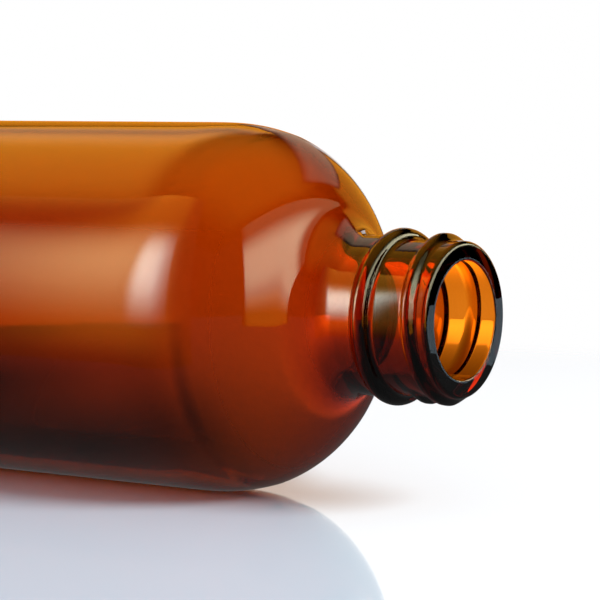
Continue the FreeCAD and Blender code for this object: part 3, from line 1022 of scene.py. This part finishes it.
# %% Wings and dark card
WING_HEIGHT = 0.6
WING_MIDDLE = 0.1
OPEN_LEFT = -0.20
OPEN_RIGHT = 0.55
DARK_GLOW = 0.09
DARK_WIDTH = 1.80
DARK_DEPTH = 1.1
DARK_MIDDLE = -0.50
OVER_TABLE = 0.0003


def tent_wing(name, left, right):
    """An upright cloth in the tent's opening, seen in reflections only."""
    middle = Matrix.Translation(((left + right) / 2, TENT_BACK, WING_MIDDLE))
    place = table_turn @ middle @ Matrix.Rotation(math.radians(90), 4, "X")
    wing = flat_panel(name, right - left, WING_HEIGHT, place)
    only_in_glass(wing, True, False)
    wing.data.materials.append(black_cloth)


tent_wing("tent_wing_left", -TENT_SIDE, OPEN_LEFT)
tent_wing("tent_wing_right", OPEN_RIGHT, TENT_SIDE)
dark_place = table_turn @ Matrix.Translation((0, DARK_MIDDLE, OVER_TABLE))
black_card = flat_panel("black_card", DARK_WIDTH, DARK_DEPTH, dark_place)
only_in_glass(black_card, True, False)
black_card.data.materials.append(cloth_material("dark_card", DARK_GLOW))

# %% [markdown]
# ## Soft light on cards
#
# Cards stand close to the bottle, just out of the picture, and their reflections are the pale panels on
# body and shoulder. Real cards are lit most in their middle and fade to their edges. One node group makes
# that soft patch for all of them. The cards light only the bottle, by light linking, because the black cap
# would mirror them and turn brown.

# %% Soft patch group
AXES = ("X", "Y")


def soft_patch_group():
    """Mask of a soft-edged rectangle in the X and Y of a panel."""
    sizes = [(part + " " + axis, FLOAT) for part in ("Middle", "Half", "Soft") for axis in AXES]
    group, given, result = new_group("soft_patch", [("Place", VECTOR), *sizes], [("Mask", FLOAT)])
    nodes = group.nodes
    links = group.links
    place = nodes.new("ShaderNodeSeparateXYZ")
    links.new(given.outputs["Place"], place.inputs["Vector"])
    masks = []
    for axis in AXES:
        offset = add_math(nodes, links, "SUBTRACT", place.outputs[axis], given.outputs["Middle " + axis])
        distance = add_math(nodes, links, "ABSOLUTE", offset)
        depth = add_math(nodes, links, "SUBTRACT", given.outputs["Half " + axis], distance)
        edge = nodes.new("ShaderNodeMapRange")
        edge.interpolation_type = "SMOOTHSTEP"
        links.new(depth, edge.inputs["Value"])
        links.new(given.outputs["Soft " + axis], edge.inputs["From Max"])
        masks.append(edge.outputs["Result"])
    links.new(add_math(nodes, links, "MULTIPLY", *masks), result.inputs["Mask"])
    return group


soft_patch = soft_patch_group()
glass_only = bpy.data.collections.new("glass_only")
glass_only.objects.link(bottle)
print("node group", soft_patch.name, "with", len(soft_patch.nodes), "nodes")

# %% Card helpers
BLACK = (0.0, 0.0, 0.0, 1.0)


def add_patch(nodes, links, where, colour, strength, middle, half, soft):
    """A soft patch of light: its colour, strength, middle, half size and softness, in mm."""
    patch = nodes.new("ShaderNodeGroup")
    patch.node_tree = soft_patch
    links.new(where, patch.inputs["Place"])
    for number, axis in enumerate(AXES):
        patch.inputs["Middle " + axis].default_value = middle[number] * MM
        patch.inputs["Half " + axis].default_value = half[number] * MM
        patch.inputs["Soft " + axis].default_value = soft[number] * MM
    light = nodes.new("ShaderNodeEmission")
    shade = add_colour_mix(nodes, links, patch.outputs["Mask"], BLACK, (*colour, 1.0))
    links.new(shade, light.inputs["Color"])
    light.inputs["Strength"].default_value = strength
    return light.outputs["Emission"]


def dimmed_in_mirrors(nodes, links, shader, kept):
    """A shader of which only a share is kept once a ray has been mirrored on its way."""
    ray = nodes.new("ShaderNodeLightPath")
    lost = add_range(nodes, links, ray.outputs["Glossy Depth"], 0.0, 1.0 - kept)
    nothing = nodes.new("ShaderNodeEmission")
    nothing.inputs["Strength"].default_value = 0.0
    return mix_shaders(nodes, links, lost, shader, nothing.outputs["Emission"])


def lit_card(name, size, place, patches, mirrored=True, through=False, kept_in_mirror=1.0):
    """A card with soft patches of light that only the bottle sees, in its mirror or through its glass."""
    panel = flat_panel(name, size[0] * MM, size[1] * MM, place)
    only_in_glass(panel, mirrored, through)
    panel.light_linking.receiver_collection = glass_only
    material, nodes, links, output = new_material(name)
    where = nodes.new("ShaderNodeTexCoord").outputs["Object"]
    shader = add_shaders(nodes, links, [add_patch(nodes, links, where, *patch) for patch in patches])
    shader = dimmed_in_mirrors(nodes, links, shader, kept_in_mirror)
    show_to_bottle(nodes, links, shader, output)
    material.cycles.emission_sampling = "NONE"
    panel.data.materials.append(material)
    return panel


# %% Card places
def upright(x, y, z, azimuth):
    """Place of an upright panel that faces an azimuth: its own X runs level and its own Y runs up."""
    return (
        Matrix.Translation((x * MM, y * MM, z * MM))
        @ Matrix.Rotation(math.radians(azimuth), 4, "Z")
        @ Matrix.Rotation(math.radians(90), 4, "X")
    )


def overhead(x, y, z):
    """Place of a level panel that faces down."""
    return Matrix.Translation((x * MM, y * MM, z * MM)) @ Matrix.Rotation(math.pi, 4, "Y")


# %% [markdown]
# ## Cards in front and at the side
#
# The front card stands 31 mm before the body and runs past the shoulder. A warm strip and a bright pale
# end make the long panel on the body, and orange light over it covers the upper half. The side card stands
# to the right, beyond the mouth. Its cream half is the tall window on the shoulder. Lamps could stand in
# for cards, but glass would show each of them as a hard spot.

# %% Front and side cards
WARM = (1.0, 0.82, 0.40)
PALE = (0.78, 0.95, 0.95)
EMBER = (1.0, 0.34, 0.015)
ORANGE = (1.0, 0.39, 0.03)
CREAM = (1.0, 0.95, 0.64)

# Each patch is a colour, a strength, a middle, a half size and a softness.
lit_card(
    "front_card", (240, 162), upright(-46, -62, 84, 180),
    [
        (WARM, 2.5, (10, -24), (105, 38), (8, 38)),
        (WARM, 2.0, (-70, -24), (44, 38), (40, 38)),
        (PALE, 8.5, (-86, -29), (14, 31), (11, 28)),
        (EMBER, 2.8, (-70, 12), (50, 92), (45, 30)),
        (ORANGE, 2.4, (30, 110), (115, 100), (40, 95)),
        (WARM, 0.105, (0, 0), (130, 90), (1, 1)),
    ],
)
lit_card(
    "side_card", (700, 414), upright(300, 235, 207, 270),
    [
        (WARM, 0.8, (0, 8), (345, 195), (40, 120)),
        (CREAM, 5.2, (0, -72), (345, 112), (14, 90)),
        (ORANGE, 2.0, (245, -177), (105, 45), (30, 25)),
    ],
)

# %% [markdown]
# ## Cards above and behind
#
# Glass mirrors most at its rims, where it is seen at a slant, and there a black tent would draw a hard
# dark line. An orange card overhead and two behind the bottle keep the top of the body and the shoulder's
# right edge as orange as the glass itself. A small dim flag over the neck takes the green cast off its
# top.

# %% Rim cards
WHITE = (1.0, 1.0, 1.0)
DIM = (0.90, 0.62, 0.42)

lit_card(
    "warm_card", (760, 900), overhead(-60, 160, 290),
    [
        (ORANGE, 2.8, (182, -100), (187, 280), (90, 200)),
        (ORANGE, 1.1, (-155, -100), (225, 280), (100, 200)),
        (ORANGE, 1.6, (190, 280), (190, 200), (80, 120)),
        (WHITE, 0.22, (180, 90), (170, 160), (70, 120)),
    ],
)
lit_card(
    "edge_card", (330, 350), table_turn @ upright(-55, 570, 125, 0),
    [(EMBER, 1.0, (0, 0), (165, 175), (40, 40))],
)
lit_card(
    "rim_card", (380, 300), table_turn @ upright(300, 370, 170, 327),
    [(ORANGE, 1.3, (0, 0), (190, 150), (60, 60))],
)
lit_card(
    "neck_flag", (29, 28), overhead(57.5, 19, 64),
    [(DIM, 0.8, (0, 0), (15, 15), (3, 6))],
)

# %% [markdown]
# ## Seen through the glass
#
# The amber is the light behind the bottle, less what the glass takes. A bright backdrop and a light above
# it fill the upper half. The lower half looks at the table that the bottle itself shades, so a sheet with
# that shade painted on it lies there: a painted shadow, black, with a few patches of painted light. It
# reaches under the bottle and behind it, and is cut off in front, where the base would show it as a dark
# lower half from other sides.

# %% Backdrop and top light
BUTTER = (1.0, 0.95, 0.7)
STRAW = (1.0, 0.9, 0.6)

lit_card(
    "lit_backdrop", (1600, 560), table_turn @ upright(0, 580, 60, 0),
    [
        (WHITE, 1.58, (0, 0), (900, 300), (50, 10)),
        (BUTTER, 5.4, (0, 260), (900, 300), (50, 200)),
    ],
    mirrored=False, through=True, kept_in_mirror=0.3,
)
lit_card(
    "top_light", (500, 680), table_turn @ overhead(-190, 240, 280),
    [(STRAW, 1.6, (0, 0), (250, 340), (30, 60))],
    mirrored=False, through=True, kept_in_mirror=0.0,
)

# %% Shaded table
# Colour of the painted light on the shaded sheet. Where no patch lies, the sheet is the bottle's painted
# shadow.
PAINTED_TABLE_LIGHT = (1.0, 0.96, 0.8)
SHADE_MIDDLE = 0.12
SHADE_FRONT = -3

shade_place = table_turn @ Matrix.Translation((0, SHADE_MIDDLE, OVER_TABLE))
shaded_table = lit_card(
    "shaded_table", (900, 360), shade_place,
    [
        (PAINTED_TABLE_LIGHT, 1.3, (265, 190), (300, 290), (60, 260)),
        (PAINTED_TABLE_LIGHT, 0.6, (-60, 150), (75, 110), (35, 110)),
        (PAINTED_TABLE_LIGHT, 0.5, (240, 0), (230, 180), (60, 60)),
        (PAINTED_TABLE_LIGHT, 0.9, (240, 190), (200, 210), (30, 150)),
        (WHITE, 1.75, (108, 130), (30, 115), (12, 20)),
    ],
    mirrored=False, through=True,
)
to_card = shade_place.inverted()
shape = bmesh.new()
shape.from_mesh(shaded_table.data)
bmesh.ops.bisect_plane(
    shape,
    geom=shape.verts[:] + shape.edges[:] + shape.faces[:],
    plane_co=to_card @ Vector((0, SHADE_FRONT * MM, 0)),
    plane_no=to_card.to_3x3() @ Vector((0, 1, 0)),
    clear_inner=True,
)
shape.to_mesh(shaded_table.data)
shape.free()
print("shaded table cut to", len(shaded_table.data.vertices), "corners")

# %% [markdown]
# ## The lamp
#
# One wide, round lamp stands to the right and throws the soft shadows on the table. Neither mirrors nor
# glass see it, because its disc would be a hard white spot in every curve of the neck.

# %% Lamp
LAMP_AZIMUTH = 88.0
LAMP_ELEVATION = 42.0
LAMP_DISTANCE = 1.0
LAMP_WIDTH = 0.5
LAMP_POWER = 8.7

lamp_data = bpy.data.lights.new("lamp", "AREA")
lamp_data.shape = "DISK"
lamp_data.size = LAMP_WIDTH
lamp_data.energy = LAMP_POWER
lamp = bpy.data.objects.new("lamp", lamp_data)
lamp.location = direction(LAMP_AZIMUTH, LAMP_ELEVATION) * LAMP_DISTANCE
lamp.rotation_euler = (math.radians(90 - LAMP_ELEVATION), 0, math.radians(LAMP_AZIMUTH))
lamp.visible_glossy = False
lamp.visible_transmission = False
bpy.context.scene.collection.objects.link(lamp)
print("lamp at", [round(x, 3) for x in lamp.location])
